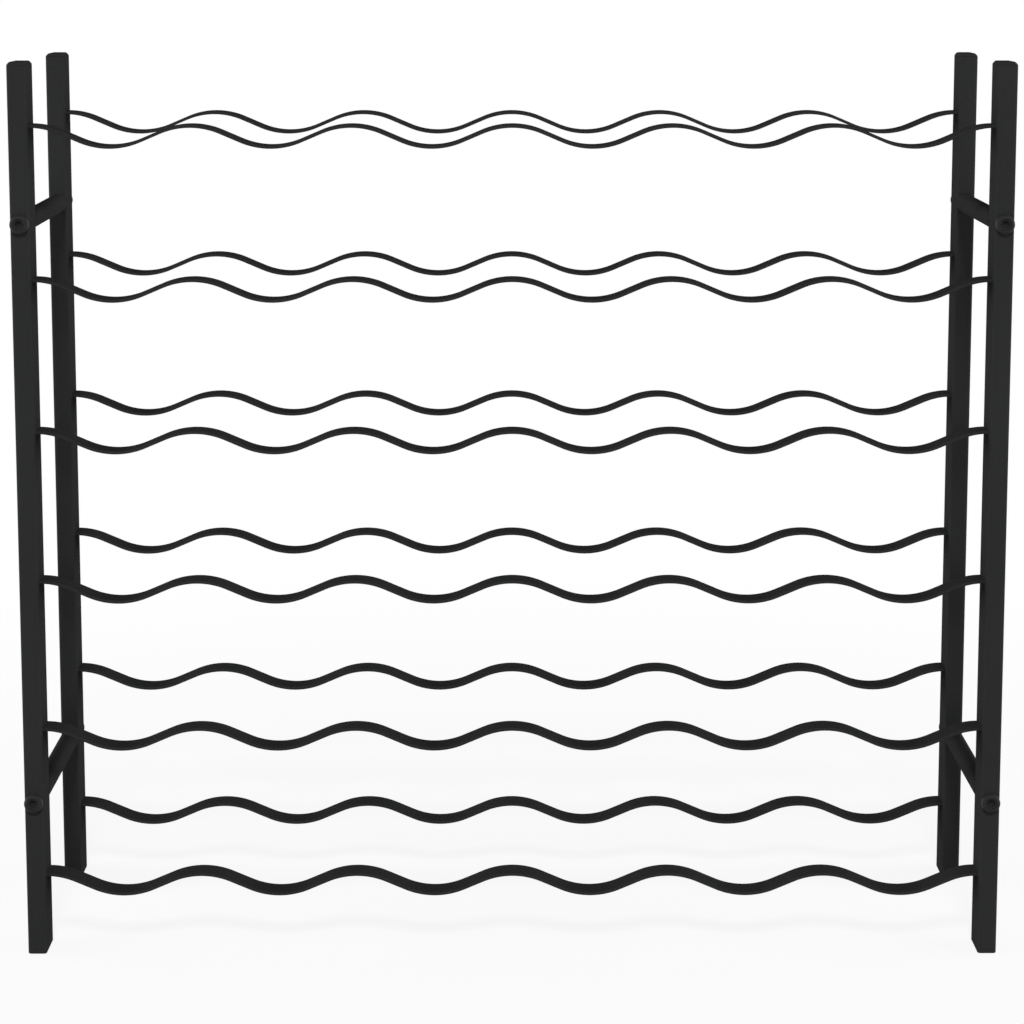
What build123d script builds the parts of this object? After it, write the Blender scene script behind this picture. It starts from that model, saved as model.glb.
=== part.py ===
from build123d import *
import math
import os

# Wine rack of two welded frames, front and back, bolted together by four short braces.
# Millimetres. Origin on the floor at the middle of the rack, X to the right, front at -Y, Z up.

# Whole rack, over the posts
rack_width = 650.0
rack_depth = 200.0
rack_height = 595.0

# Posts: rectangular tubes with the narrow face to the front
post_width = 12.5
post_depth = 30.0
post_wall = 1.2
post_corner = 2.0

# Plastic caps and feet that plug the ends of the posts
cap_height = 2.4
foot_height = 3.0
plug_length = 12.0
plug_wall = 1.6
plug_gap = 0.1

# Wave rails: flat strip bent into a row of hollows, one for each bottle
level_count = 6
lowest_rail = 53.5
top_rail_drop = 41.5
wave_count = 6
wave_height = 13.5
straight_run = 14.0
strip_width = 20.0
strip_thickness = 2.0
weld_leg = 2.0

# Braces: round tubes with a threaded block in each end
brace_diameter = 13.0
brace_wall = 1.2
brace_inset = 104.5
block_length = 18.0
block_gap = 0.05

# Bolts: flat heads with a hexagon socket
bolt_diameter = 6.0
bolt_grip = 14.0
bolt_point = 0.8
head_diameter = 12.4
head_height = 4.0
head_edge = 1.2
socket_size = 5.0
socket_depth = 2.6
block_clearance = 0.1
post_clearance = 0.25

# Worked out from the dimensions above
post_x = (rack_width - post_width) / 2
post_y = (rack_depth - post_depth) / 2
tube_length = rack_height - cap_height - foot_height
rail_span = rack_width - 2 * post_width
level_pitch = (rack_height - lowest_rail - top_rail_drop) / (level_count - 1)
brace_length = rack_depth - 2 * post_depth
cap_edge = 0.9 * post_corner
foot_edge = 0.4 * post_corner

# Half a wave is a bend, a straight run and the opposite bend.
# The tangent is the distance from a crest to where the line of the run would cross its level.
half_wave = rail_span / wave_count / 2
bend_tangent = (half_wave**2 + wave_height**2 - straight_run**2) / (4 * (half_wave + straight_run))
slope = math.atan2(wave_height / 2, half_wave / 2 - bend_tangent)
bend_radius = bend_tangent / math.tan(slope / 2)

# Places of the four posts and of the braces along them
sides = {"left": -post_x, "right": post_x}
frames = {"front": -1, "back": 1}
brace_levels = {"lower": brace_inset, "upper": rack_height - brace_inset}


def make_post():
    """Post tube standing on its foot, drilled front to back for the bolts."""
    outside = RectangleRounded(post_width, post_depth, post_corner)
    bore = Rectangle(post_width - 2 * post_wall, post_depth - 2 * post_wall)
    post = Pos(Z=foot_height) * extrude(outside - bore, tube_length)
    hole = Rot(X=90) * Cylinder(bolt_diameter / 2 + post_clearance, 2 * post_depth)
    for level in brace_levels.values():
        post -= Pos(Z=level) * hole
    return post


def make_end_plug(height, edge):
    """Cap with a chamfer round its top and a hollow plug below Z = 0."""
    head = extrude(RectangleRounded(post_width, post_depth, post_corner), height)
    head = chamfer(head.faces().sort_by(Axis.Z)[-1].edges(), edge)
    plug_width = post_width - 2 * (post_wall + plug_gap)
    plug_depth = post_depth - 2 * (post_wall + plug_gap)
    hollow = Rectangle(plug_width - 2 * plug_wall, plug_depth - 2 * plug_wall)
    return head + extrude(Rectangle(plug_width, plug_depth) - hollow, -plug_length)


def wave_line():
    """Middle line of a rail: half a bend at each post, whole bends between, runs joining them."""
    last_bend = 2 * wave_count
    point = Vector(-rail_span / 2, 0)
    heading = Vector(1, 0)
    line = Curve()
    for bend in range(last_bend + 1):
        turn = math.degrees(slope if bend in (0, last_bend) else 2 * slope)
        arc = JernArc(point, heading, bend_radius, turn if bend % 2 else -turn)
        line += arc
        point = arc @ 1
        heading = arc % 1
        if bend < last_bend:
            run = Line(point, point + heading * straight_run)
            line += run
            point = run @ 1
    return line


def make_rail():
    """Bent strip with a weld fillet under each end, its ends level with Z = 0."""
    profile = trace(wave_line(), strip_thickness)
    underside = -strip_thickness / 2
    for end in (-1, 1):
        face = end * rail_span / 2
        toe = face - end * weld_leg
        profile += make_face(
            Polyline((face, 0), (toe, 0), (toe, underside), (face, underside - weld_leg), close=True)
        )
    return extrude(Plane.XZ * profile, strip_width / 2, both=True)


def round_tube(radius, bore, length):
    """Round tube along Y with its middle at the origin."""
    return Rot(X=90) * extrude(Circle(radius) - Circle(bore), length / 2, both=True)


def make_brace():
    """Tube between a front and a back post."""
    radius = brace_diameter / 2
    return round_tube(radius, radius - brace_wall, brace_length)


def make_block():
    """Threaded block that fits inside one end of a brace."""
    radius = brace_diameter / 2 - brace_wall - block_gap
    return round_tube(radius, bolt_diameter / 2 + block_clearance, block_length)


def make_bolt():
    """Bolt with its head above Z = 0 and its shank below."""
    head = extrude(Circle(head_diameter / 2), head_height)
    head = chamfer(head.edges().sort_by(Axis.Z)[-1], head_edge)
    socket = extrude(RegularPolygon(socket_size / 2, 6, major_radius=False), -socket_depth)
    shank = extrude(Circle(bolt_diameter / 2), -(post_depth + bolt_grip))
    shank = chamfer(shank.edges().sort_by(Axis.Z)[0], bolt_point)
    return head - Pos(Z=head_height) * socket + shank


# Every piece by name, at its place in the rack
pieces = {}
post = make_post()
top_cap = make_end_plug(cap_height, cap_edge)
foot = Rot(X=180) * make_end_plug(foot_height, foot_edge)
rail = make_rail()
brace = make_brace()
block = make_block()
bolt = make_bolt()

for frame, outward in frames.items():
    for number in range(level_count):
        rail_place = Pos(0, outward * post_y, lowest_rail + number * level_pitch)
        pieces[f"{frame}_rail_{number + 1}"] = rail_place * rail
    for side, x in sides.items():
        post_place = Pos(x, outward * post_y, 0)
        pieces[f"{frame}_{side}_post"] = post_place * post
        pieces[f"{frame}_{side}_top_cap"] = post_place * Pos(Z=rack_height - cap_height) * top_cap
        pieces[f"{frame}_{side}_foot"] = post_place * Pos(Z=foot_height) * foot
        for name, level in brace_levels.items():
            bolt_place = Pos(x, outward * rack_depth / 2, level) * Rot(X=-90 * outward)
            pieces[f"{frame}_{side}_{name}_bolt"] = bolt_place * bolt
            block_place = Pos(x, outward * (brace_length - block_length) / 2, level)
            pieces[f"{frame}_{side}_{name}_threaded_block"] = block_place * block

for side, x in sides.items():
    for name, level in brace_levels.items():
        pieces[f"{side}_{name}_brace"] = Pos(x, 0, level) * brace

os.makedirs("parts", exist_ok=True)
for name, piece in pieces.items():
    export_step(piece, f"parts/{name}.step")
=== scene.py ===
import math

import bmesh
import bpy
from bpy.props import FloatProperty, FloatVectorProperty, IntProperty, PointerProperty
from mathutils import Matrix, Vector


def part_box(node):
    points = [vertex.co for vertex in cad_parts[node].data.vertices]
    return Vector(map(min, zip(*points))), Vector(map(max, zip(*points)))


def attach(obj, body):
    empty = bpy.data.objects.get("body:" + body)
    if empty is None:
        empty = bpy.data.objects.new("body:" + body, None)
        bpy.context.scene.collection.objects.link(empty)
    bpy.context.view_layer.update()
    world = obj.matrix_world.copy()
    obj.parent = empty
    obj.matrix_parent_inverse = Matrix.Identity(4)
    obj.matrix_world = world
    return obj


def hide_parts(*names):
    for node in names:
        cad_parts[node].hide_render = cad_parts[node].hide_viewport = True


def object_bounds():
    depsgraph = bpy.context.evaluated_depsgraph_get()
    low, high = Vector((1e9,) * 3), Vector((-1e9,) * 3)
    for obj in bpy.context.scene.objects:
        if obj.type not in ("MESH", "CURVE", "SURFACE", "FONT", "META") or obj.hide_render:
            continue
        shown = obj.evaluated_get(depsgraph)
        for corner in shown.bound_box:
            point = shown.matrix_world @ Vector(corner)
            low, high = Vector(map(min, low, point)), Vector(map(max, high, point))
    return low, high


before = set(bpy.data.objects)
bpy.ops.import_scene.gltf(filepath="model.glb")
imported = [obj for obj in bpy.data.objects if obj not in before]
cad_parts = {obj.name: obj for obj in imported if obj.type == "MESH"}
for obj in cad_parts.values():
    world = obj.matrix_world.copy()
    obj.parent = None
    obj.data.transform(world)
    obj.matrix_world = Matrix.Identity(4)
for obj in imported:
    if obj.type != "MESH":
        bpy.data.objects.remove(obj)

bl_info = {
    "name": "Wine Rack",
    "version": (1, 0, 0),
    "blender": (4, 5, 0),
    "location": "View3D > Sidebar > Wine Rack",
    "description": "Makes the tubes, wave rails, welds, bolts and finishes of a steel wine rack",
    "category": "Object",
}


# The imported model: its box, its one body and its nodes by kind

CAD_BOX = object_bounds()
BODY = "root"


def nodes_with(word):
    """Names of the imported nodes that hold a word, in order."""
    return sorted(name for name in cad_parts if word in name)


POSTS = nodes_with("_post")
TOP_CAPS = nodes_with("_top_cap")
FEET = nodes_with("_foot")
RAILS = nodes_with("_rail_")
FRONT_RAILS = nodes_with("front_rail_")
BRACES = nodes_with("_brace")
BOLTS = nodes_with("_bolt")
BLOCKS = nodes_with("_threaded_block")


# Fineness of the meshes: steps along each curve

CORNER_STEPS = 6
EDGE_STEPS = 5
WAVE_STEPS = 56
BOLT_STEPS = 48
TUBE_STEPS = 64
BEAD_STEPS = 72
BEAD_SIDES = 14
FLOOR_SIDES = 96


# Edges: the strip of flat kept beside a rounding, the smallest corner in metres, the fullness of
# a round edge, and the least angle that stays sharp

FLAT_MARGIN = 0.0003
LEAST_CORNER = 0.0002
ROUND = 2.0
SHARP_ANGLE = math.radians(40)


# Axes that a bar may lie along, and plain white

ALONG_Y = 1
ALONG_Z = 2
WHITE = (1.0, 1.0, 1.0, 1.0)


# Sizes and colours that a user may change

def length(name, description, default):
    """A length in metres."""
    return FloatProperty(
        name=name, description=description, default=default, min=0.0, precision=4,
        subtype="DISTANCE", unit="LENGTH",
    )


def spot(name, description, default):
    """A place in metres."""
    return FloatVectorProperty(
        name=name, description=description, default=default, size=3,
        subtype="TRANSLATION", unit="LENGTH",
    )


def degrees(name, description, default):
    """An angle, given in degrees."""
    return FloatProperty(
        name=name, description=description, default=math.radians(default),
        subtype="ANGLE", unit="ROTATION",
    )


def watts(name, description, default):
    """The power of a lamp."""
    return FloatProperty(
        name=name, description=description, default=default, min=0.0, unit="POWER"
    )


def tint(name, description, default):
    """A colour in linear light."""
    return FloatVectorProperty(
        name=name, description=description, default=default, size=3, min=0.0, max=1.0,
        subtype="COLOR",
    )


class RackSizes(bpy.types.PropertyGroup):
    """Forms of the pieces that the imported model's boxes leave open."""

    post_corner: length("Post Corner", "Radius of the upright tube's corners", 0.0020)
    cap_edge: length("Cap Edge", "Slope round the top of a post cap", 0.0021)
    cap_fullness: FloatProperty(
        name="Cap Fullness",
        description="Form of the cap's slope, from 1 for straight to 2 for round",
        default=1.2, min=1.0, max=2.0,
    )
    foot_edge: length("Foot Edge", "Rounding round the bottom of a foot", 0.0008)
    seam_edge: length("Seam Edge", "Rounding where a tube meets its cap, foot or post", 0.00025)
    strip_thickness: length("Strip Thickness", "Thickness of the flat steel of a rail", 0.0020)
    strip_edge: length("Strip Edge", "Rounding along the rail's edges", 0.00045)
    wave_height: length("Wave Height", "Fall from a rail's crest to its hollow", 0.0135)
    straight_run: length("Straight Run", "Straight flat between two bends of a rail", 0.0140)
    wave_count: IntProperty(name="Waves", description="Hollows along one rail", default=6, min=1)
    weld_radius: length("Weld Radius", "Size of the weld bead at a rail's end", 0.0015)
    weld_margin: length("Weld Margin", "Bare strip left at each end of a weld bead", 0.0006)
    ripple_pitch: length("Ripple Pitch", "Step between two ripples of a weld bead", 0.0013)
    weld_seed: IntProperty(
        name="Weld Seed", description="Picks which weld beads are turned round", default=7
    )
    bolt_shank: length("Bolt Shank", "Diameter of a bolt below its head", 0.0060)
    head_height: length("Head Height", "Height of a bolt's head", 0.0040)
    head_edge: length("Head Edge", "Rounding round a bolt's head", 0.0019)
    socket_size: length("Socket Size", "Width across the flats of the bolt's socket", 0.0050)
    socket_depth: length("Socket Depth", "Depth of the bolt's socket", 0.0026)
    dish_depth: length("Dish Depth", "Depth of the flat hollow round the bolt's socket", 0.0009)
    turning_pitch: length(
        "Turning Pitch", "Step between the rings that turning leaves on a bolt", 0.00035
    )


class RackColours(bpy.types.PropertyGroup):
    """Colours of the finishes."""

    paint: tint("Paint", "Powder coat on tubes, rails and welds", (0.0214, 0.0217, 0.0224))
    plastic: tint("Plastic", "Moulded caps and feet", (0.0214, 0.0217, 0.0224))
    bolt: tint("Bolt", "Black finish of the bolts", (0.0205, 0.0209, 0.0216))
    zinc: tint("Zinc", "Plating of the threaded blocks", (0.60, 0.61, 0.63))
    floor: tint("Floor", "Studio floor", (0.75, 0.75, 0.75))


class RackStudio(bpy.types.PropertyGroup):
    """Camera and light."""

    camera_place: spot("Camera Place", "Where the camera stands", (-0.0041, -2.0658, 0.6631))
    camera_tilt: degrees("Camera Tilt", "How far the camera looks down", 8.88)
    camera_turn: degrees("Camera Turn", "How far the camera looks to the right", 0.113)
    lens: FloatProperty(
        name="Lens", description="Focal length", default=107.03, min=1.0,
        subtype="DISTANCE_CAMERA", unit="CAMERA",
    )
    shift: FloatProperty(
        name="Shift", description="Upward shift of the view, as a share of its width", default=-0.08
    )
    room: FloatProperty(
        name="Room Light", description="Brightness of the room all round", default=0.05, min=0.0
    )
    front_place: spot("Front Lamp Place", "Where the lamp in front hangs", (0.0, -6.25, 5.9))
    front_size: length("Front Lamp Size", "Side of the lamp in front", 1.2)
    front_power: watts("Front Lamp", "Power of the lamp in front", 470.0)
    side_place: spot(
        "Side Lamp Place", "Where the right-hand lamp stands, its twin opposite", (3.0, 0.0, 0.62)
    )
    side_width: length(
        "Side Lamp Width", "Length of the lamp at each side, along the rack's depth", 4.0
    )
    side_height: length("Side Lamp Height", "Height of the lamp at each side", 1.2)
    side_power: watts("Side Lamps", "Power of the lamp at each side", 122.0)
    top_place: spot("Top Lamp Place", "Where the small lamp overhead hangs", (-0.1, -0.6, 2.2))
    top_size: length("Top Lamp Size", "Side of the small lamp overhead", 0.35)
    top_power: watts("Top Lamp", "Power of the small lamp overhead", 1.8)


# Node trees

def socket_at(sockets, key):
    """The socket of a node with a number, an identifier or a name."""
    if isinstance(key, int):
        return sockets[key]
    return next(socket for socket in sockets if key in (socket.identifier, socket.name))


class Wire:
    """An output of a node. Arithmetic on it adds Math nodes to its tree."""

    def __init__(self, graph, socket):
        self.graph = graph
        self.socket = socket

    def pick(self, key):
        """Another output of the same node."""
        return Wire(self.graph, socket_at(self.socket.node.outputs, key))

    def __add__(self, other):
        return self.graph.math("ADD", self, other)

    def __radd__(self, other):
        return self.graph.math("ADD", other, self)

    def __sub__(self, other):
        return self.graph.math("SUBTRACT", self, other)

    def __rsub__(self, other):
        return self.graph.math("SUBTRACT", other, self)

    def __mul__(self, other):
        return self.graph.math("MULTIPLY", self, other)

    def __rmul__(self, other):
        return self.graph.math("MULTIPLY", other, self)

    def __truediv__(self, other):
        return self.graph.math("DIVIDE", self, other)

    def __rtruediv__(self, other):
        return self.graph.math("DIVIDE", other, self)

    def __gt__(self, other):
        return self.graph.math("GREATER_THAN", self, other)

    def __abs__(self):
        return self.graph.math("ABSOLUTE", self)


class Graph:
    """A node tree that is filled one node at a time."""

    def __init__(self, tree):
        self.tree = tree

    def add(self, kind, settings=None, sockets=None, out=0):
        """Adds a node, sets it up, fills or links its sockets and gives one of its outputs."""
        node = self.tree.nodes.new(kind)
        for name, value in (settings or {}).items():
            setattr(node, name, value)
        for key, value in (sockets or {}).items():
            socket = socket_at(node.inputs, key)
            if isinstance(value, Wire):
                self.tree.links.new(value.socket, socket)
            else:
                socket.default_value = value
        return Wire(self, socket_at(node.outputs, out)) if node.outputs else None

    def math(self, operation, *values):
        """A Math node on numbers or wires."""
        return self.add("ShaderNodeMath", {"operation": operation}, dict(enumerate(values)))

    def point(self, x=0.0, y=0.0, z=0.0):
        """A vector from three values."""
        return self.add("ShaderNodeCombineXYZ", sockets={"X": x, "Y": y, "Z": z})

    def axis(self, vector, name):
        """One of a vector's three values."""
        return self.add("ShaderNodeSeparateXYZ", sockets={"Vector": vector}, out=name)

    def noise(self, vector, lumps, detail=2.0):
        """A noise between 0 and 1 with this many lumps to the metre."""
        sockets = {"Vector": vector, "Scale": lumps, "Detail": detail}
        return self.add("ShaderNodeTexNoise", sockets=sockets, out="Fac")


def shape_tree(name, sizes):
    """An empty Geometry Nodes tree with named inputs: its graph, and a wire for each input."""
    tree = bpy.data.node_groups.new(name, "GeometryNodeTree")
    tree.interface.new_socket("Geometry", in_out="OUTPUT", socket_type="NodeSocketGeometry")
    tree.interface.new_socket("Geometry", in_out="INPUT", socket_type="NodeSocketGeometry")
    for label, kind in sizes.items():
        tree.interface.new_socket(label, in_out="INPUT", socket_type="NodeSocket" + kind)
    tree.interface.new_socket("Material", in_out="INPUT", socket_type="NodeSocketMaterial")
    graph = Graph(tree)
    inputs = graph.add("NodeGroupInput").socket.node.outputs
    return graph, {socket.name: Wire(graph, socket) for socket in inputs if socket.name}


def end_tree(graph, geometry, material):
    """Closes a tree: instances become plain mesh with smooth faces and a material."""
    plain = graph.add("GeometryNodeRealizeInstances", sockets={"Geometry": geometry})
    smooth = graph.add("GeometryNodeSetShadeSmooth", sockets={
        "Geometry": plain, "Shade Smooth": True,
    })
    painted = graph.add("GeometryNodeSetMaterial", sockets={
        "Geometry": smooth, "Material": material,
    })
    graph.add("NodeGroupOutput", sockets={"Geometry": painted})
    return graph.tree


def grow(host, tree, values):
    """Runs a tree on a host object, takes the result as a plain mesh and clears the host away."""
    modifier = host.modifiers.new(tree.name, "NODES")
    modifier.node_group = tree
    for item in tree.interface.items_tree:
        if item.in_out == "INPUT" and item.name in values:
            modifier[item.identifier] = values[item.name]
    depsgraph = bpy.context.evaluated_depsgraph_get()
    mesh = bpy.data.meshes.new_from_object(host.evaluated_get(depsgraph), depsgraph=depsgraph)
    if not mesh.polygons:
        raise RuntimeError(f"{tree.name} made no faces")
    host.modifiers.remove(modifier)
    bpy.data.objects.remove(host)
    return mesh


# Meshes

def link(name, data):
    """A new object in the scene."""
    piece = bpy.data.objects.new(name, data)
    bpy.context.scene.collection.objects.link(piece)
    return piece


def place_piece(name, mesh, nodes):
    """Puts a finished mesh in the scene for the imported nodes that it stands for."""
    mesh.name = name
    piece = link(name, mesh)
    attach(piece, BODY)
    if nodes:
        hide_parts(*nodes)


def mesh_from(shape, material):
    """A smooth mesh of one material from bmesh work, its faces outwards and its hard edges kept."""
    bmesh.ops.recalc_face_normals(shape, faces=shape.faces)
    mesh = bpy.data.meshes.new("shape")
    shape.to_mesh(mesh)
    shape.free()
    mesh.shade_smooth()
    mesh.set_sharp_from_angle(angle=SHARP_ANGLE)
    mesh.materials.append(material)
    return mesh


def heading(angle):
    """A step of one unit in a direction."""
    return Vector((math.cos(angle), math.sin(angle)))


def rounded_outline(width, depth, corner):
    """Points round a rectangle with rounded corners, and one on the flat each side of a corner."""
    points = []
    quarter = math.pi / 2
    for turn in range(4):
        first = turn * quarter
        way = heading(first + quarter / 2)
        centre = Vector((
            math.copysign(width / 2 - corner, way.x),
            math.copysign(depth / 2 - corner, way.y),
        ))
        angles = [first + quarter * step / CORNER_STEPS for step in range(CORNER_STEPS + 1)]
        arc = [centre + corner * heading(angle) for angle in angles]
        points.append(arc[0] - FLAT_MARGIN * heading(first + quarter))
        points.extend(arc)
        points.append(arc[-1] + FLAT_MARGIN * heading(first + 2 * quarter))
    return points


def edge_profile(edge, fullness, wall_margin):
    """Inset and rise of each ring round the rounded end of a bar, from its flat end to its wall."""
    power = ROUND / fullness
    rings = [(edge + FLAT_MARGIN, 0.0)]
    for step in range(EDGE_STEPS + 1):
        angle = math.pi / 2 * step / EDGE_STEPS
        rings.append((edge * (1 - math.sin(angle) ** power), edge * (1 - math.cos(angle) ** power)))
    rings.append((0.0, edge + wall_margin))
    return rings


def loft(rings):
    """A closed shape over rings of points."""
    shape = bmesh.new()
    loops = [[shape.verts.new(point) for point in ring] for ring in rings]
    for below, above in zip(loops, loops[1:]):
        for index in range(len(below)):
            following = (index + 1) % len(below)
            shape.faces.new((below[index], below[following], above[following], above[index]))
    shape.faces.new(reversed(loops[0]))
    shape.faces.new(loops[-1])
    return shape


def flat_section(low, high, corner):
    """Outline of an upright flat tube that fills a box, as a function of how far it draws in."""
    size = high - low
    return lambda inset: rounded_outline(
        size.x - 2 * inset, size.y - 2 * inset, max(corner - inset, LEAST_CORNER)
    )


def round_section(diameter):
    """Outline of a round tube, as a function of how far it draws in."""
    turns = [heading(2 * math.pi * step / TUBE_STEPS) for step in range(TUBE_STEPS)]
    return lambda inset: [(diameter / 2 - inset) * turn for turn in turns]


def bar(low, high, along, section, low_edge, high_edge, fullness=ROUND):
    """A bar along one axis of a box, with both of its ends rounded over."""
    across = (along + 1) % 3
    over = (along + 2) % 3
    centre = (low + high) / 2
    flat = high[along] - low[along] - low_edge - high_edge
    margin = min(FLAT_MARGIN, flat / 3)
    low_end = edge_profile(low_edge, fullness, margin)
    high_end = reversed(edge_profile(high_edge, fullness, margin))
    stations = [(inset, low[along] + rise) for inset, rise in low_end]
    stations += [(inset, high[along] - rise) for inset, rise in high_end]
    rings = []
    for inset, station in stations:
        ring = []
        for step in section(inset):
            point = centre.copy()
            point[across] += step.x
            point[over] += step.y
            point[along] = station
            ring.append(point)
        rings.append(ring)
    return loft(rings)


def strip_section(name, width, thickness, edge):
    """A closed curve with the outline of a rail's flat strip."""
    outline = rounded_outline(width, thickness, edge)
    curve = bpy.data.curves.new(name, "CURVE")
    spline = curve.splines.new("POLY")
    spline.points.add(len(outline) - 1)
    for point, step in zip(spline.points, outline):
        point.co = (step.x, step.y, 0.0, 1.0)
    spline.use_cyclic_u = True
    return link(name, curve)


def wave_rail_tree():
    """A tree that bends a strip along a wave: round crests and hollows, straight flats between."""
    graph, given = shape_tree("Wave Rail", {
        "Span": "Float", "Waves": "Int", "Wave Height": "Float", "Straight Run": "Float",
        "Crest Height": "Float", "Depth": "Float", "Points": "Int",
    })
    fall = given["Wave Height"]
    run = given["Straight Run"]
    half_span = given["Span"] / 2
    half_wave = half_span / given["Waves"]
    tangent = (half_wave * half_wave + fall * fall - run * run) / ((half_wave + run) * 4)
    slope = graph.math("ARCTAN2", fall, half_wave - tangent * 2)
    radius = tangent / graph.math("TANGENT", slope / 2)
    bend_end = radius * graph.math("SINE", slope)

    line = graph.add("GeometryNodeCurvePrimitiveLine", {"mode": "POINTS"}, {
        "Start": graph.point(x=half_span * -1), "End": graph.point(x=half_span),
    })
    points = graph.add("GeometryNodeResampleCurve", {"mode": "COUNT"}, {
        "Curve": line, "Count": given["Points"],
    })
    along = graph.axis(graph.add("GeometryNodeInputPosition"), "X")

    from_crest = graph.math("PINGPONG", along + half_span, half_wave)
    from_bend = graph.math("MINIMUM", from_crest, half_wave - from_crest)
    on_bend = radius - graph.math("SQRT", radius * radius - from_bend * from_bend)
    bend_drop = radius * (1 - graph.math("COSINE", slope))
    on_flat = bend_drop + (from_bend - bend_end) * graph.math("TANGENT", slope)
    drop = on_bend + (on_flat - on_bend) * (from_bend > bend_end)
    whole_drop = drop + (fall - drop * 2) * (from_crest > half_wave / 2)

    height = given["Crest Height"] - whole_drop
    wave = graph.add("GeometryNodeSetPosition", sockets={
        "Geometry": points, "Position": graph.point(along, given["Depth"], height),
    })
    level = graph.add("GeometryNodeSetCurveNormal", {"mode": "Z_UP"}, {"Curve": wave})
    strip = graph.add("GeometryNodeCurveToMesh", sockets={
        "Curve": level, "Profile Curve": given["Geometry"], "Fill Caps": True,
    })
    return end_tree(graph, strip, given["Material"])


# Inputs of a tree that sets something at several heights on every post, and the posts on one side

COLUMN_SIZES = {
    "Spread X": "Float", "Spread Y": "Float", "Levels": "Int", "Lowest": "Float", "Pitch": "Float",
}
POSTS_PER_SIDE = 2


def columns_at_posts(graph, given):
    """Points in an upright line at each of the four posts."""
    corners = graph.add("GeometryNodeMeshGrid", sockets={
        "Size X": given["Spread X"], "Vertices X": POSTS_PER_SIDE,
        "Size Y": given["Spread Y"], "Vertices Y": POSTS_PER_SIDE,
    })
    column = graph.add("GeometryNodeMeshLine", {"mode": "OFFSET"}, {
        "Count": given["Levels"],
        "Start Location": graph.point(z=given["Lowest"]),
        "Offset": graph.point(z=given["Pitch"]),
    })
    columns = graph.add("GeometryNodeInstanceOnPoints", sockets={
        "Points": corners, "Instance": column,
    })
    return graph.add("GeometryNodeRealizeInstances", sockets={"Geometry": columns})


def half_turn(graph, share):
    """A rotation about Z: none for a share of 0, half a turn for 1."""
    euler = graph.point(z=share * math.pi)
    return graph.add("FunctionNodeEulerToRotation", sockets={"Euler": euler})


def bolt_tree():
    """A tree that sets one bolt at every hole, with its head away from the rack's middle."""
    graph, given = shape_tree("Bolts", COLUMN_SIZES)
    holes = columns_at_posts(graph, given)
    at_back = graph.axis(graph.add("GeometryNodeInputPosition"), "Y") > 0.0
    bolts = graph.add("GeometryNodeInstanceOnPoints", sockets={
        "Points": holes, "Instance": given["Geometry"], "Rotation": half_turn(graph, at_back),
    })
    return end_tree(graph, bolts, given["Material"])


# Form of a weld bead: its least girth, ripple and wander as shares of its radius, its lumps to the
# metre and their detail, how squarely its ends close, and what keeps them from a point

BEAD_GIRTH = 0.80
BEAD_RIPPLE = 0.05
BEAD_WANDER = 0.30
BEAD_LUMPS = 260.0
BEAD_DETAIL = 1.0
BEAD_SQUARENESS = 8.0
BEAD_TIP = 0.002


def weld_tree():
    """A tree that lays a rippled bead across the strip, under both ends of every rail."""
    graph, given = shape_tree("Welds", {
        **COLUMN_SIZES,
        "Weld Length": "Float", "Weld Radius": "Float", "Ripple Pitch": "Float", "Seed": "Int",
    })
    half_length = given["Weld Length"] / 2
    line = graph.add("GeometryNodeCurvePrimitiveLine", {"mode": "POINTS"}, {
        "Start": graph.point(y=half_length * -1), "End": graph.point(y=half_length),
    })
    bead_line = graph.add("GeometryNodeResampleCurve", {"mode": "COUNT"}, {
        "Curve": line, "Count": BEAD_STEPS,
    })
    place = graph.add("GeometryNodeInputPosition")
    along = graph.axis(place, "Y")
    ripple = graph.math("SINE", along / given["Ripple Pitch"] * (2 * math.pi))
    wander = graph.noise(place, BEAD_LUMPS, BEAD_DETAIL)
    closing = graph.math("POWER", abs(along / half_length), BEAD_SQUARENESS)
    ending = graph.math("SQRT", 1 + BEAD_TIP - closing)
    girth = ending * (BEAD_GIRTH + ripple * BEAD_RIPPLE + wander * BEAD_WANDER)
    ring = graph.add("GeometryNodeCurvePrimitiveCircle", {"mode": "RADIUS"}, {
        "Resolution": BEAD_SIDES, "Radius": given["Weld Radius"],
    })
    bead = graph.add("GeometryNodeCurveToMesh", sockets={
        "Curve": bead_line, "Profile Curve": ring, "Scale": girth, "Fill Caps": True,
    })
    flip = graph.add("FunctionNodeRandomValue", {"data_type": "INT"}, {
        "Min_002": 0, "Max_002": 1, "Seed": given["Seed"],
    }, out="Value_002")
    beads = graph.add("GeometryNodeInstanceOnPoints", sockets={
        "Points": columns_at_posts(graph, given), "Instance": bead,
        "Rotation": half_turn(graph, flip),
    })
    return end_tree(graph, beads, given["Material"])


# Form of a bolt: its point as a share of the shank's radius, and the cone under its socket, its tip
# and its depth as shares of the socket's inner radius

BOLT_POINT = 1 / 4
CONE_TIP = 1 / 4
CONE_DEPTH = 1 / 3


def hexagon_reach(angle):
    """How far a hexagon of inner radius 1 reaches in a direction."""
    sixth = math.pi / 3
    return 1 / math.cos(angle % sixth - sixth / 2)


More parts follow.
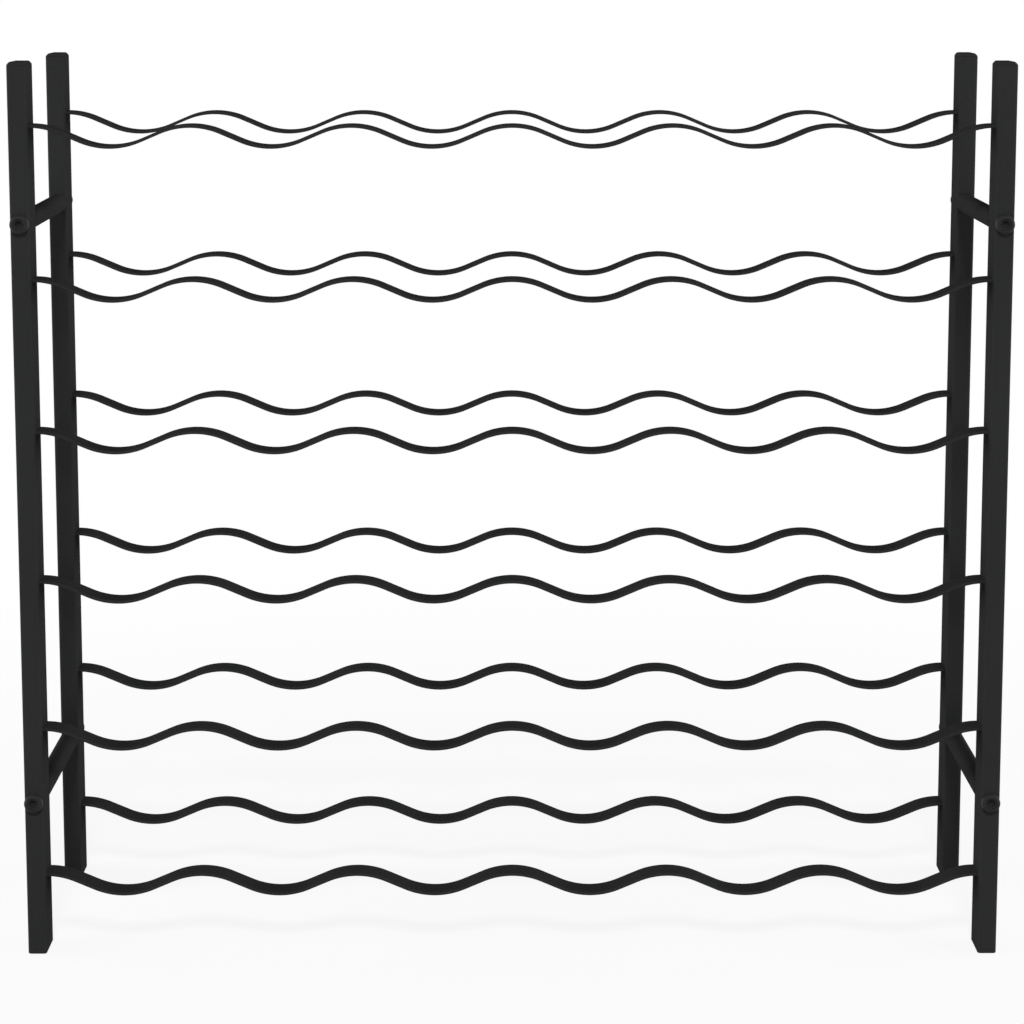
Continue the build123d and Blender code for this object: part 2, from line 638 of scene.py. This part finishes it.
def bolt_shape(sizes, head_radius, whole_length):
    """A bolt with its seat at the origin, its head towards -Y and a hexagon socket in the head."""
    shank = sizes.bolt_shank / 2
    height = sizes.head_height
    edge = sizes.head_edge
    flats = sizes.socket_size / 2
    tip = whole_length - height
    point = shank * BOLT_POINT
    lead = sizes.seam_edge
    dish = sizes.dish_depth
    mouth = flats * hexagon_reach(0.0)
    rim = head_radius - edge - FLAT_MARGIN
    rings = [(shank - point, tip, False), (shank, tip - point, False), (shank, 0.0, False)]
    rings += [(head_radius - lead, 0.0, False), (head_radius, -lead, False)]
    for step in range(EDGE_STEPS + 1):
        angle = math.pi / 2 * step / EDGE_STEPS
        girth = head_radius - edge * (1 - math.cos(angle))
        rings.append((girth, -height + edge * (1 - math.sin(angle)), False))
    rings.append((rim, -height, False))
    rings.append((rim - lead, dish - height, False))
    rings.append((mouth, dish - height, False))
    rings.append((flats, dish + lead - height, True))
    rings.append((flats, sizes.socket_depth - height, True))
    cone_end = sizes.socket_depth + flats * CONE_DEPTH
    rings.append((flats * CONE_TIP, cone_end - height, False))
    angles = [2 * math.pi * step / BOLT_STEPS for step in range(BOLT_STEPS)]
    loops = []
    for radius, station, hexagon in rings:
        loop = []
        for angle in angles:
            reach = radius * hexagon_reach(angle) if hexagon else radius
            loop.append(Vector((reach * math.cos(angle), station, reach * math.sin(angle))))
        loops.append(loop)
    return loft(loops)


# Finishes

def new_finish(name):
    """An empty material with a graph to fill."""
    material = bpy.data.materials.new(name)
    material.use_nodes = True
    material.node_tree.nodes.clear()
    return material, Graph(material.node_tree)


def close_finish(graph, **sockets):
    """Ends a material in one Principled shader."""
    named = {key.replace("_", " "): value for key, value in sockets.items()}
    shader = graph.add("ShaderNodeBsdfPrincipled", sockets=named)
    graph.add("ShaderNodeOutputMaterial", sockets={"Surface": shader})


def bump(graph, height, strength, depth):
    """A skin with relief of up to a depth in metres."""
    sockets = {"Strength": strength, "Distance": depth, "Height": height}
    return graph.add("ShaderNodeBump", sockets=sockets)


def shade(colour, factor):
    """A colour made darker or lighter, with alpha."""
    return (*(channel * factor for channel in colour), 1.0)


def between(graph, colour, spread, factor):
    """A colour that varies by a spread either side as the factor goes from 0 to 1."""
    return graph.add("ShaderNodeMix", {"data_type": "RGBA"}, {
        "Factor_Float": factor,
        "A_Color": shade(colour, 1 - spread),
        "B_Color": shade(colour, 1 + spread),
    }, out="Result_Color")


def blend(first, second, share):
    """Two noises in one, with this share of the second."""
    return first * (1 - share) + second * share


# Gloss of the matt finishes, which have hardly any

MATT_SPECULAR = 0.001


# Powder coat: lumps to the metre, strength and depth of its skin with the grain's share in it,
# spread of tone with the grain's share in that, and least roughness with what each noise adds

COAT_DRIFT = 9.0
COAT_PEEL = 620.0
COAT_PEEL_DETAIL = 1.0
COAT_GRAIN = 2600.0
COAT_SKIN = (0.5, 0.00004)
COAT_SKIN_GRAIN = 0.35
COAT_SPREAD = 0.22
COAT_SPREAD_GRAIN = 0.4
COAT_ROUGH = 0.82
COAT_ROUGH_DRIFT = 0.06
COAT_ROUGH_GRAIN = 0.08


def matt_powder_coat(scene):
    """Matt black powder coat: a slow drift of tone, an orange-peel skin and a fine grain."""
    material, graph = new_finish("matt_powder_coat")
    place = graph.add("ShaderNodeTexCoord", out="Object")
    drift = graph.noise(place, COAT_DRIFT)
    peel = graph.noise(place, COAT_PEEL, COAT_PEEL_DETAIL)
    grain = graph.noise(place, COAT_GRAIN)
    tone = blend(drift, grain, COAT_SPREAD_GRAIN)
    close_finish(
        graph,
        Base_Color=between(graph, scene.rack_colours.paint, COAT_SPREAD, tone),
        Roughness=COAT_ROUGH + drift * COAT_ROUGH_DRIFT + grain * COAT_ROUGH_GRAIN,
        Specular_IOR_Level=MATT_SPECULAR,
        Normal=bump(graph, peel + grain * COAT_SKIN_GRAIN, *COAT_SKIN),
    )
    return material


# Plastic: the same kinds of value, for a drift and a grain alone

PLASTIC_DRIFT = 40.0
PLASTIC_GRAIN = 1700.0
PLASTIC_GRAIN_DETAIL = 3.0
PLASTIC_SKIN = (0.6, 0.00006)
PLASTIC_SPREAD = 0.18
PLASTIC_SPREAD_GRAIN = 0.5
PLASTIC_ROUGH = 0.80
PLASTIC_ROUGH_GRAIN = 0.12


def moulded_plastic(scene):
    """Black moulded plastic with a matt, spark-eroded grain."""
    material, graph = new_finish("moulded_plastic")
    place = graph.add("ShaderNodeTexCoord", out="Object")
    drift = graph.noise(place, PLASTIC_DRIFT)
    grain = graph.noise(place, PLASTIC_GRAIN, PLASTIC_GRAIN_DETAIL)
    tone = blend(drift, grain, PLASTIC_SPREAD_GRAIN)
    close_finish(
        graph,
        Base_Color=between(graph, scene.rack_colours.plastic, PLASTIC_SPREAD, tone),
        Roughness=PLASTIC_ROUGH + grain * PLASTIC_ROUGH_GRAIN,
        Specular_IOR_Level=MATT_SPECULAR,
        Normal=bump(graph, grain, *PLASTIC_SKIN),
    )
    return material


# Bolts: the same kinds of value, with the turned rings' share in the skin, and a little gloss

BOLT_GRAIN = 1500.0
BOLT_SKIN = (0.25, 0.00002)
BOLT_SKIN_RINGS = 0.5
BOLT_SPREAD = 0.25
BOLT_ROUGH = 0.34
BOLT_ROUGH_GRAIN = 0.08
BOLT_SPECULAR = 0.02


def black_bolt_steel(scene):
    """Black-finished steel with the faint rings that turning leaves on a bolt's head."""
    material, graph = new_finish("black_bolt_steel")
    place = graph.add("ShaderNodeTexCoord", out="Object")
    across = graph.axis(place, "X")
    height = across.pick("Z")
    low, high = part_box(BOLTS[0])
    low_next, high_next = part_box(BOLTS[1])
    column = abs(low.x + high.x) / 2
    first = (low.z + high.z) / 2
    second = (low_next.z + high_next.z) / 2
    from_hole = graph.math("MINIMUM", abs(height - first), abs(height - second))
    off_axis = abs(across) - column
    radius = graph.math("SQRT", off_axis * off_axis + from_hole * from_hole)
    rings = graph.math("SINE", radius * (2 * math.pi / scene.rack_sizes.turning_pitch))
    grain = graph.noise(place, BOLT_GRAIN)
    close_finish(
        graph,
        Base_Color=between(graph, scene.rack_colours.bolt, BOLT_SPREAD, grain),
        Roughness=BOLT_ROUGH + grain * BOLT_ROUGH_GRAIN,
        Specular_IOR_Level=BOLT_SPECULAR,
        Normal=bump(graph, rings * BOLT_SKIN_RINGS + grain, *BOLT_SKIN),
    )
    return material


# Zinc: the same kinds of value, with a cloud in place of the drift

ZINC_CLOUD = 180.0
ZINC_GRAIN = 1900.0
ZINC_SKIN = (0.3, 0.00003)
ZINC_SPREAD = 0.12
ZINC_ROUGH = 0.28
ZINC_ROUGH_CLOUD = 0.16


def zinc_plate(scene):
    """Bright zinc on steel, with a cloudy spangle and a fine grain."""
    material, graph = new_finish("zinc_plate")
    place = graph.add("ShaderNodeTexCoord", out="Object")
    cloud = graph.noise(place, ZINC_CLOUD)
    grain = graph.noise(place, ZINC_GRAIN)
    close_finish(
        graph,
        Base_Color=between(graph, scene.rack_colours.zinc, ZINC_SPREAD, cloud),
        Metallic=1.0,
        Roughness=ZINC_ROUGH + cloud * ZINC_ROUGH_CLOUD,
        Normal=bump(graph, grain, *ZINC_SKIN),
    )
    return material


FINISHES = {
    "matt_powder_coat": matt_powder_coat,
    "moulded_plastic": moulded_plastic,
    "black_bolt_steel": black_bolt_steel,
    "zinc_plate": zinc_plate,
}


def finish(name):
    """A finish by name, made when a piece first asks for it."""
    return bpy.data.materials.get(name) or FINISHES[name](bpy.context.scene)


# Studio

def seen_directly(graph):
    """1 for what the camera, a reflection or a clear piece sees, 0 for light on its way."""
    rays = graph.add("ShaderNodeLightPath", out="Is Camera Ray")
    seen = rays + rays.pick("Is Glossy Ray") + rays.pick("Is Transmission Ray")
    return graph.math("MINIMUM", seen, 1.0)


# The floor: its radius, lumps to the metre and spread of tone. Its plain white: the least share,
# where that begins to rise, how far it takes to reach the whole, and how softly it gets there

FLOOR_RADIUS = 30.0
FLOOR_MOTTLE = 3.0
FLOOR_SPREAD = 0.01
FLOOR_WHITE = 0.88
SHADOW_REACH = 0.4
SHADOW_FADE = 0.8
FADE_SOFTNESS = 0.2


# The camera: width of its sensor in millimetres, and how far it sees in metres

SENSOR_WIDTH = 36.0
CLIP_END = 100.0


def white_room(studio):
    """Faint white light all round, and plain white behind the rack."""
    world = bpy.data.worlds.new("white_room")
    world.use_nodes = True
    world.node_tree.nodes.clear()
    graph = Graph(world.node_tree)
    light = graph.add("ShaderNodeBackground", sockets={"Color": WHITE, "Strength": studio.room})
    white = graph.add("ShaderNodeBackground", sockets={"Color": WHITE, "Strength": 1.0})
    both = graph.add("ShaderNodeMixShader", sockets={0: seen_directly(graph), 1: light, 2: white})
    graph.add("ShaderNodeOutputWorld", sockets={"Surface": both})
    bpy.context.scene.world = world


def studio_floor(colours):
    """White paint that takes the rack's shadow near by and goes to plain white further off."""
    material, graph = new_finish("studio_floor")
    place = graph.add("ShaderNodeTexCoord", out="Object")
    distance = graph.add("ShaderNodeVectorMath", {"operation": "LENGTH"}, {0: place}, out="Value")
    beyond = graph.math("MAXIMUM", (distance - SHADOW_REACH) / SHADOW_FADE, 0.0)
    rise = graph.math("SMOOTH_MIN", beyond, 1.0, FADE_SOFTNESS)
    fade = FLOOR_WHITE + rise * (1 - FLOOR_WHITE)
    mottle = graph.noise(place, FLOOR_MOTTLE)
    tone = between(graph, colours.floor, FLOOR_SPREAD, mottle)
    paint = graph.add("ShaderNodeBsdfDiffuse", sockets={"Color": tone})
    white = graph.add("ShaderNodeEmission", sockets={"Color": WHITE, "Strength": 1.0})
    both = graph.add("ShaderNodeMixShader", sockets={
        0: fade * seen_directly(graph), 1: paint, 2: white,
    })
    graph.add("ShaderNodeOutputMaterial", sockets={"Surface": both})
    return material


def floor_disc():
    """A round floor level with the feet."""
    shape = bmesh.new()
    bmesh.ops.create_circle(shape, cap_ends=True, segments=FLOOR_SIDES, radius=FLOOR_RADIUS)
    mesh = bpy.data.meshes.new("studio_floor")
    shape.to_mesh(mesh)
    shape.free()
    return mesh


def softbox(name, place, aim, width, height, power):
    """A rectangular lamp that points at a place and isn't seen itself."""
    lamp = bpy.data.lights.new(name, "AREA")
    lamp.shape = "RECTANGLE"
    lamp.size = width
    lamp.size_y = height
    lamp.energy = power
    holder = link(name, lamp)
    holder.location = place
    holder.rotation_euler = (Vector(aim) - Vector(place)).to_track_quat("-Z", "Y").to_euler()
    holder.visible_camera = False


def photo_camera(studio):
    """A camera a little above the top of the rack that looks down at its front."""
    camera = bpy.data.cameras.new("photo_camera")
    camera.sensor_width = SENSOR_WIDTH
    camera.lens = studio.lens
    camera.shift_y = studio.shift
    camera.clip_end = CLIP_END
    holder = link("photo_camera", camera)
    holder.location = studio.camera_place
    holder.rotation_euler = (math.pi / 2 - studio.camera_tilt, 0.0, -studio.camera_turn)
    bpy.context.scene.camera = holder


# Decimal places of a metre to which the bolts of one level agree

HOLE_DIGITS = 5


# Operators

class MakePosts(bpy.types.Operator):
    """Flat rectangular steel tubes for the four uprights"""

    bl_idname = "wine_rack.make_posts"
    bl_label = "Posts"

    def execute(self, context):
        sizes = context.scene.rack_sizes
        for node in POSTS:
            low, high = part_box(node)
            section = flat_section(low, high, sizes.post_corner)
            tube = bar(low, high, ALONG_Z, section, sizes.seam_edge, sizes.seam_edge)
            mesh = mesh_from(tube, finish("matt_powder_coat"))
            place_piece(node + "_tube", mesh, [node])
        return {"FINISHED"}


class MakeEndPlugs(bpy.types.Operator):
    """Moulded caps on the posts' tops and feet under them"""

    bl_idname = "wine_rack.make_end_plugs"
    bl_label = "Caps and Feet"

    def execute(self, context):
        sizes = context.scene.rack_sizes
        for post, cap, foot in zip(POSTS, TOP_CAPS, FEET):
            tube_low, tube_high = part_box(post)
            cap_low, cap_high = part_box(cap)
            foot_low, foot_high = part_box(foot)
            cap_low.z = tube_high.z
            foot_high.z = tube_low.z
            section = flat_section(tube_low, tube_high, sizes.post_corner)
            top = bar(
                cap_low, cap_high, ALONG_Z, section,
                sizes.seam_edge, sizes.cap_edge, sizes.cap_fullness,
            )
            base = bar(foot_low, foot_high, ALONG_Z, section, sizes.foot_edge, sizes.seam_edge)
            for node, shape in ((cap, top), (foot, base)):
                mesh = mesh_from(shape, finish("moulded_plastic"))
                place_piece(node + "_moulding", mesh, [node])
        return {"FINISHED"}


class MakeRails(bpy.types.Operator):
    """Wave-bent flat strips that carry the bottles"""

    bl_idname = "wine_rack.make_rails"
    bl_label = "Wave Rails"

    def execute(self, context):
        sizes = context.scene.rack_sizes
        tree = wave_rail_tree()
        for node in RAILS:
            low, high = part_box(node)
            section = strip_section(
                node + "_section", high.y - low.y, sizes.strip_thickness, sizes.strip_edge
            )
            mesh = grow(section, tree, {
                "Span": high.x - low.x,
                "Waves": sizes.wave_count,
                "Wave Height": sizes.wave_height,
                "Straight Run": sizes.straight_run,
                "Crest Height": high.z - sizes.strip_thickness / 2,
                "Depth": (low.y + high.y) / 2,
                "Points": sizes.wave_count * WAVE_STEPS + 1,
                "Material": finish("matt_powder_coat"),
            })
            place_piece(node + "_strip", mesh, [node])
        return {"FINISHED"}


class MakeWelds(bpy.types.Operator):
    """Weld beads under both ends of every rail"""

    bl_idname = "wine_rack.make_welds"
    bl_label = "Welds"

    def execute(self, context):
        sizes = context.scene.rack_sizes
        low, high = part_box(FRONT_RAILS[0])
        top_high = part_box(FRONT_RAILS[-1])[1]
        host = link("weld_host", bpy.data.meshes.new("weld_host"))
        mesh = grow(host, weld_tree(), {
            "Spread X": high.x - low.x,
            "Spread Y": abs(low.y + high.y),
            "Levels": len(FRONT_RAILS),
            "Lowest": high.z - sizes.strip_thickness,
            "Pitch": (top_high.z - high.z) / (len(FRONT_RAILS) - 1),
            "Weld Length": high.y - low.y - 2 * sizes.weld_margin,
            "Weld Radius": sizes.weld_radius,
            "Ripple Pitch": sizes.ripple_pitch,
            "Seed": sizes.weld_seed,
            "Material": finish("matt_powder_coat"),
        })
        place_piece("rail_end_welds", mesh, [])
        return {"FINISHED"}


class MakeBraces(bpy.types.Operator):
    """Round cross tubes between the front and the back posts"""

    bl_idname = "wine_rack.make_braces"
    bl_label = "Cross Tubes"

    def execute(self, context):
        sizes = context.scene.rack_sizes
        for node in BRACES:
            low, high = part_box(node)
            section = round_section(high.x - low.x)
            tube = bar(low, high, ALONG_Y, section, sizes.seam_edge, sizes.seam_edge)
            mesh = mesh_from(tube, finish("matt_powder_coat"))
            place_piece(node + "_tube", mesh, [node])
        return {"FINISHED"}


class MakeBolts(bpy.types.Operator):
    """Socket-head bolts through the posts into the cross tubes"""

    bl_idname = "wine_rack.make_bolts"
    bl_label = "Bolts"

    def execute(self, context):
        sizes = context.scene.rack_sizes
        boxes = [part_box(node) for node in BOLTS]
        low, high = boxes[0]
        middles = [(box_low.z + box_high.z) / 2 for box_low, box_high in boxes]
        heights = sorted({round(middle, HOLE_DIGITS) for middle in middles})
        seat = max(box_high.y for _, box_high in boxes) - sizes.head_height
        shape = bolt_shape(sizes, (high.x - low.x) / 2, high.y - low.y)
        host = link("bolt_host", mesh_from(shape, finish("black_bolt_steel")))
        mesh = grow(host, bolt_tree(), {
            "Spread X": abs(low.x + high.x),
            "Spread Y": 2 * seat,
            "Levels": len(heights),
            "Lowest": heights[0],
            "Pitch": heights[-1] - heights[0],
            "Material": finish("black_bolt_steel"),
        })
        place_piece("cross_tube_bolts", mesh, BOLTS)
        return {"FINISHED"}


class FinishBlocks(bpy.types.Operator):
    """Zinc plating for the threaded blocks inside the cross tubes"""

    bl_idname = "wine_rack.finish_blocks"
    bl_label = "Threaded Blocks"

    def execute(self, context):
        for node in BLOCKS:
            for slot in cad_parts[node].material_slots:
                slot.material = finish("zinc_plate")
        return {"FINISHED"}


class MakeStudio(bpy.types.Operator):
    """White floor, even light and the camera"""

    bl_idname = "wine_rack.make_studio"
    bl_label = "Studio"

    def execute(self, context):
        studio = context.scene.rack_studio
        floor = link("studio_floor", floor_disc())
        floor.data.materials.append(studio_floor(context.scene.rack_colours))
        white_room(studio)
        middle = (CAD_BOX[0] + CAD_BOX[1]) / 2
        side_x, side_y, side_z = studio.side_place
        front = (studio.front_size, studio.front_size, studio.front_power)
        side = (studio.side_width, studio.side_height, studio.side_power)
        top = (studio.top_size, studio.top_size, studio.top_power)
        softbox("front_lamp", studio.front_place, middle, *front)
        softbox("right_lamp", (side_x, side_y, side_z), middle, *side)
        softbox("left_lamp", (-side_x, side_y, side_z), middle, *side)
        softbox("top_lamp", studio.top_place, middle, *top)
        photo_camera(studio)
        context.scene.view_settings.view_transform = "Standard"
        return {"FINISHED"}


OPERATORS = (
    MakePosts, MakeEndPlugs, MakeRails, MakeWelds, MakeBraces, MakeBolts, FinishBlocks, MakeStudio,
)


class RackPanel(bpy.types.Panel):
    """The rack's sizes, colours and steps"""

    bl_idname = "VIEW3D_PT_wine_rack"
    bl_label = "Wine Rack"
    bl_space_type = "VIEW_3D"
    bl_region_type = "UI"
    bl_category = "Wine Rack"

    def draw(self, context):
        scene = context.scene
        for group in (scene.rack_sizes, scene.rack_colours, scene.rack_studio):
            column = self.layout.box().column()
            for name in group.__annotations__:
                column.prop(group, name)
        for operator in OPERATORS:
            self.layout.operator(operator.bl_idname)


CLASSES = (RackSizes, RackColours, RackStudio, *OPERATORS, RackPanel)


def register():
    for kind in CLASSES:
        bpy.utils.register_class(kind)
    bpy.types.Scene.rack_sizes = PointerProperty(type=RackSizes)
    bpy.types.Scene.rack_colours = PointerProperty(type=RackColours)
    bpy.types.Scene.rack_studio = PointerProperty(type=RackStudio)


def unregister():
    del bpy.types.Scene.rack_studio
    del bpy.types.Scene.rack_colours
    del bpy.types.Scene.rack_sizes
    for kind in reversed(CLASSES):
        bpy.utils.unregister_class(kind)


def main():
    """Makes every piece and the studio."""
    register()
    bpy.ops.wine_rack.make_posts()
    bpy.ops.wine_rack.make_end_plugs()
    bpy.ops.wine_rack.make_rails()
    bpy.ops.wine_rack.make_welds()
    bpy.ops.wine_rack.make_braces()
    bpy.ops.wine_rack.make_bolts()
    bpy.ops.wine_rack.finish_blocks()
    bpy.ops.wine_rack.make_studio()


if __name__ == "__main__":
    main()
